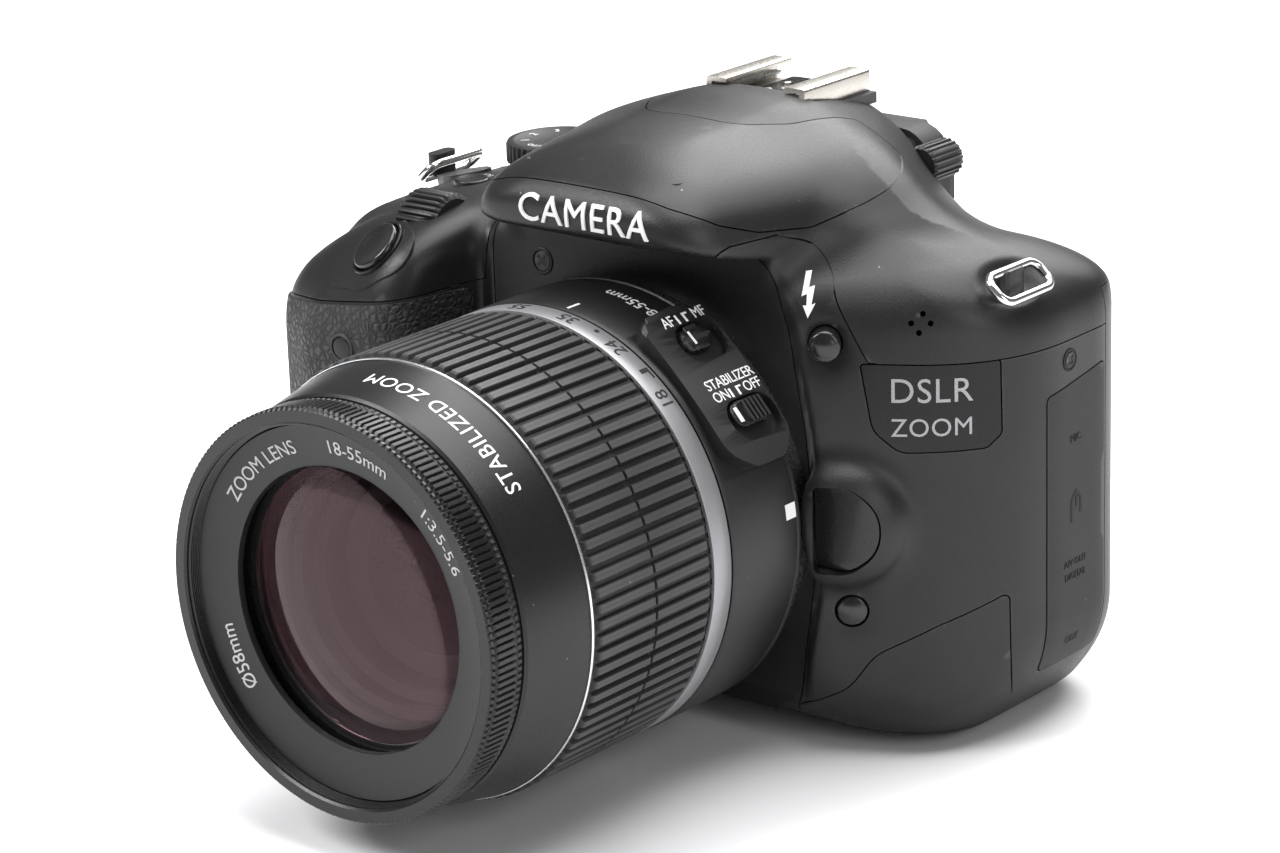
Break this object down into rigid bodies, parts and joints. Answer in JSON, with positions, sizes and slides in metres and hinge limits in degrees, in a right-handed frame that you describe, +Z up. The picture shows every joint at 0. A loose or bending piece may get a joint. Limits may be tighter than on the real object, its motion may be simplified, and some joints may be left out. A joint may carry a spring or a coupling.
{
  "type": "digital slr camera with zoom lens",
  "caption": "Digital single-lens reflex camera body with a grip, pop-up flash, hot shoe, rear display and doors, and a zoom lens with turning zoom and focus rings.",
  "frame": {"origin": "centre of the base of the whole camera, lens included, on the surface it stands on", "axes": "+Z up, -Y the way the lens points, +X the side with the socket cover; the grip is at -X"},
  "size_m": [0.1288, 0.1314, 0.0975],
  "materials": {
    "body_plastic": "satin black, fine spark texture",
    "grip_leatherette": "textured leatherette rubber",
    "gloss_black": "polished black",
    "button_plastic": "semi-gloss black",
    "lens_plastic": "satin black with fine texture",
    "lens_rubber": "ribbed matte rubber",
    "dial_plastic": "knurled satin black",
    "optical_glass": "coated, purple and green reflections",
    "viewfinder_glass": "clear polished",
    "nickel": "satin nickel plate",
    "stainless": "turned and polished",
    "alloy": "cast matte",
    "circuit_board": "green solder resist",
    "mirror_silver": "front-silvered",
    "grey_plastic": "moulded satin",
    "screen_glass": "polished cover over a dark display",
    "silver_paint": "satin silver paint on the zoom scale and trim line",
    "white_print": "white printed marks",
    "door_rubber": "smooth matte rubber"
  },
  "bodies": {
    "camera": {"front_cover": "body_plastic", "top_cover": "body_plastic", "rear_cover": "body_plastic", "bottom_cover": "body_plastic", "grip_rubber": "grip_leatherette", "badge_plate": "gloss_black", "hot_shoe": "nickel", "tripod_socket": "stainless", "strap_lug_left": "stainless", "strap_lug_right": "stainless", "eyecup": "door_rubber", "eyepiece_lens": "viewfinder_glass", "pentamirror": "alloy", "focusing_screen": "viewfinder_glass", "mirror_box": "alloy", "body_mount_ring": "stainless", "shutter_unit": "alloy", "image_sensor": "viewfinder_glass", "main_board": "circuit_board", "battery": "grey_plastic", "memory_card": "grey_plastic", "lcd_screen": "screen_glass", "terminal_block": "grey_plastic"},
    "lens": {"lens_barrel": "lens_plastic", "lens_mount": "lens_plastic"},
    "zoom_ring": {"zoom_ring": "lens_rubber"},
    "front_tube": {"front_tube": "lens_plastic"},
    "focus_ring": {"focus_ring": "lens_plastic", "front_element": "optical_glass"},
    "flash": {"flash_head": "body_plastic", "flash_window": "viewfinder_glass"},
    "af_mf_switch": {"af_mf_switch": "button_plastic"},
    "stabilizer_switch": {"stabilizer_switch": "button_plastic"},
    "reflex_mirror": {"reflex_mirror": "mirror_silver"},
    "shutter_button": {"shutter_button": "button_plastic"},
    "iso_button": {"iso_button": "button_plastic"},
    "flash_button": {"flash_button": "button_plastic"},
    "lens_release_button": {"lens_release_button": "button_plastic"},
    "depth_preview_button": {"depth_preview_button": "button_plastic"},
    "menu_button": {"menu_button": "button_plastic"},
    "info_button": {"info_button": "button_plastic"},
    "live_view_button": {"live_view_button": "button_plastic"},
    "ae_lock_button": {"ae_lock_button": "button_plastic"},
    "af_point_button": {"af_point_button": "button_plastic"},
    "exposure_button": {"exposure_button": "button_plastic"},
    "quick_button": {"quick_button": "button_plastic"},
    "set_button": {"set_button": "button_plastic"},
    "playback_button": {"playback_button": "button_plastic"},
    "erase_button": {"erase_button": "button_plastic"},
    "up_key": {"up_key": "button_plastic"},
    "down_key": {"down_key": "button_plastic"},
    "left_key": {"left_key": "button_plastic"},
    "right_key": {"right_key": "button_plastic"},
    "main_dial": {"main_dial": "dial_plastic"},
    "mode_dial": {"mode_dial": "dial_plastic"},
    "power_switch": {"power_switch": "dial_plastic"},
    "diopter_knob": {"diopter_knob": "dial_plastic"},
    "battery_door": {"battery_door": "body_plastic"},
    "card_door": {"card_door": "body_plastic"},
    "terminal_cover": {"terminal_cover": "door_rubber"}
  },
  "joints": [
    {"name": "lens_twist", "type": "hinge", "parent": "camera", "child": "lens", "pos_m": [0.0056, 0.0044, 0.0385], "axis": [0, -1, 0], "range_deg": [0, 60]},
    {"name": "zoom_turn", "type": "hinge", "parent": "lens", "child": "zoom_ring", "pos_m": [0.0056, -0.0306, 0.0385], "axis": [0, -1, 0], "range_deg": [0, 39]},
    {"name": "zoom_extension", "type": "slide", "parent": "lens", "child": "front_tube", "axis": [0, -1, 0], "range_m": [0, 0.0065]},
    {"name": "focus_turn", "type": "hinge", "parent": "front_tube", "child": "focus_ring", "pos_m": [0.0056, -0.0616, 0.0385], "axis": [0, -1, 0], "range_deg": [-40, 40]},
    {"name": "af_mf_slide", "type": "slide", "parent": "lens", "child": "af_mf_switch", "axis": [0.8241, 0, -0.5664], "range_m": [0, 0.002]},
    {"name": "stabilizer_slide", "type": "slide", "parent": "lens", "child": "stabilizer_switch", "axis": [0.5373, 0, -0.8434], "range_m": [0, 0.002]},
    {"name": "mirror_flip", "type": "hinge", "parent": "camera", "child": "reflex_mirror", "pos_m": [0.0056, 0.0387, 0.0503], "axis": [-1, 0, 0], "range_deg": [0, 45], "stiffness_Nm_per_rad": 0.002, "springref_deg": -11.46},
    {"name": "flash_lift", "type": "hinge", "parent": "camera", "child": "flash", "pos_m": [0.0056, 0.0407, 0.0953], "axis": [-1, 0, 0], "range_deg": [0, 70]},
    {"name": "shutter_press", "type": "slide", "parent": "camera", "child": "shutter_button", "axis": [0.2949, 0.6238, -0.7238], "range_m": [0, 0.0008], "stiffness_N_per_m": 300},
    {"name": "iso_press", "type": "slide", "parent": "camera", "child": "iso_button", "axis": [0, 0, -1], "range_m": [0, 0.0008], "stiffness_N_per_m": 300},
    {"name": "flash_press", "type": "slide", "parent": "camera", "child": "flash_button", "axis": [-0.5569, 0.8306, 0], "range_m": [0, 0.0008], "stiffness_N_per_m": 300},
    {"name": "lens_release_press", "type": "slide", "parent": "camera", "child": "lens_release_button", "axis": [-0.5569, 0.8306, 0], "range_m": [0, 0.0015], "stiffness_N_per_m": 300},
    {"name": "depth_preview_press", "type": "slide", "parent": "camera", "child": "depth_preview_button", "axis": [-0.5569, 0.8306, 0], "range_m": [0, 0.0008], "stiffness_N_per_m": 300},
    {"name": "menu_press", "type": "slide", "parent": "camera", "child": "menu_button", "axis": [0, -1, 0], "range_m": [0, 0.0008], "stiffness_N_per_m": 300},
    {"name": "info_press", "type": "slide", "parent": "camera", "child": "info_button", "axis": [0, -1, 0], "range_m": [0, 0.0008], "stiffness_N_per_m": 300},
    {"name": "live_view_press", "type": "slide", "parent": "camera", "child": "live_view_button", "axis": [0, -1, 0], "range_m": [0, 0.0008], "stiffness_N_per_m": 300},
    {"name": "ae_lock_press", "type": "slide", "parent": "camera", "child": "ae_lock_button", "axis": [0, -1, 0], "range_m": [0, 0.0008], "stiffness_N_per_m": 300},
    {"name": "af_point_press", "type": "slide", "parent": "camera", "child": "af_point_button", "axis": [0, -1, 0], "range_m": [0, 0.0008], "stiffness_N_per_m": 300},
    {"name": "exposure_press", "type": "slide", "parent": "camera", "child": "exposure_button", "axis": [0, -1, 0], "range_m": [0, 0.0008], "stiffness_N_per_m": 300},
    {"name": "quick_press", "type": "slide", "parent": "camera", "child": "quick_button", "axis": [0, -1, 0], "range_m": [0, 0.0008], "stiffness_N_per_m": 300},
    {"name": "set_press", "type": "slide", "parent": "camera", "child": "set_button", "axis": [0, -1, 0], "range_m": [0, 0.0008], "stiffness_N_per_m": 300},
    {"name": "playback_press", "type": "slide", "parent": "camera", "child": "playback_button", "axis": [0, -1, 0], "range_m": [0, 0.0008], "stiffness_N_per_m": 300},
    {"name": "erase_press", "type": "slide", "parent": "camera", "child": "erase_button", "axis": [0, -1, 0], "range_m": [0, 0.0008], "stiffness_N_per_m": 300},
    {"name": "up_key_press", "type": "slide", "parent": "camera", "child": "up_key", "axis": [0, -1, 0], "range_m": [0, 0.0008], "stiffness_N_per_m": 300},
    {"name": "down_key_press", "type": "slide", "parent": "camera", "child": "down_key", "axis": [0, -1, 0], "range_m": [0, 0.0008], "stiffness_N_per_m": 300},
    {"name": "left_key_press", "type": "slide", "parent": "camera", "child": "left_key", "axis": [0, -1, 0], "range_m": [0, 0.0008], "stiffness_N_per_m": 300},
    {"name": "right_key_press", "type": "slide", "parent": "camera", "child": "right_key", "axis": [0, -1, 0], "range_m": [0, 0.0008], "stiffness_N_per_m": 300},
    {"name": "main_dial_turn", "type": "hinge", "parent": "camera", "child": "main_dial", "pos_m": [-0.0379, 0.0084, 0.0741], "axis": [1, 0, 0], "continuous": true},
    {"name": "mode_dial_turn", "type": "hinge", "parent": "camera", "child": "mode_dial", "pos_m": [-0.0364, 0.0384, 0.0785], "axis": [0, 0, 1], "continuous": true},
    {"name": "power_switch_turn", "type": "hinge", "parent": "camera", "child": "power_switch", "pos_m": [-0.0509, 0.0314, 0.0785], "axis": [0, 0, 1], "range_deg": [0, 35]},
    {"name": "diopter_turn", "type": "hinge", "parent": "camera", "child": "diopter_knob", "pos_m": [0.0261, 0.0544, 0.083], "axis": [0, 1, 0], "range_deg": [-90, 90]},
    {"name": "battery_door_swing", "type": "hinge", "parent": "camera", "child": "battery_door", "pos_m": [-0.0402, 0.0044, 0], "axis": [0, -1, 0], "range_deg": [0, 95]},
    {"name": "card_door_swing", "type": "hinge", "parent": "camera", "child": "card_door", "pos_m": [-0.0603, 0.0383, 0.0385], "axis": [0, 0, 1], "range_deg": [0, 90]},
    {"name": "terminal_cover_swing", "type": "hinge", "parent": "camera", "child": "terminal_cover", "pos_m": [0.0643, 0.0334, 0.0385], "axis": [0, 0, -1], "range_deg": [0, 90]}
  ],
  "couplings": [
    {"joint": "zoom_extension", "follows": "zoom_turn", "m_per_rad": 0.009109}
  ]
}
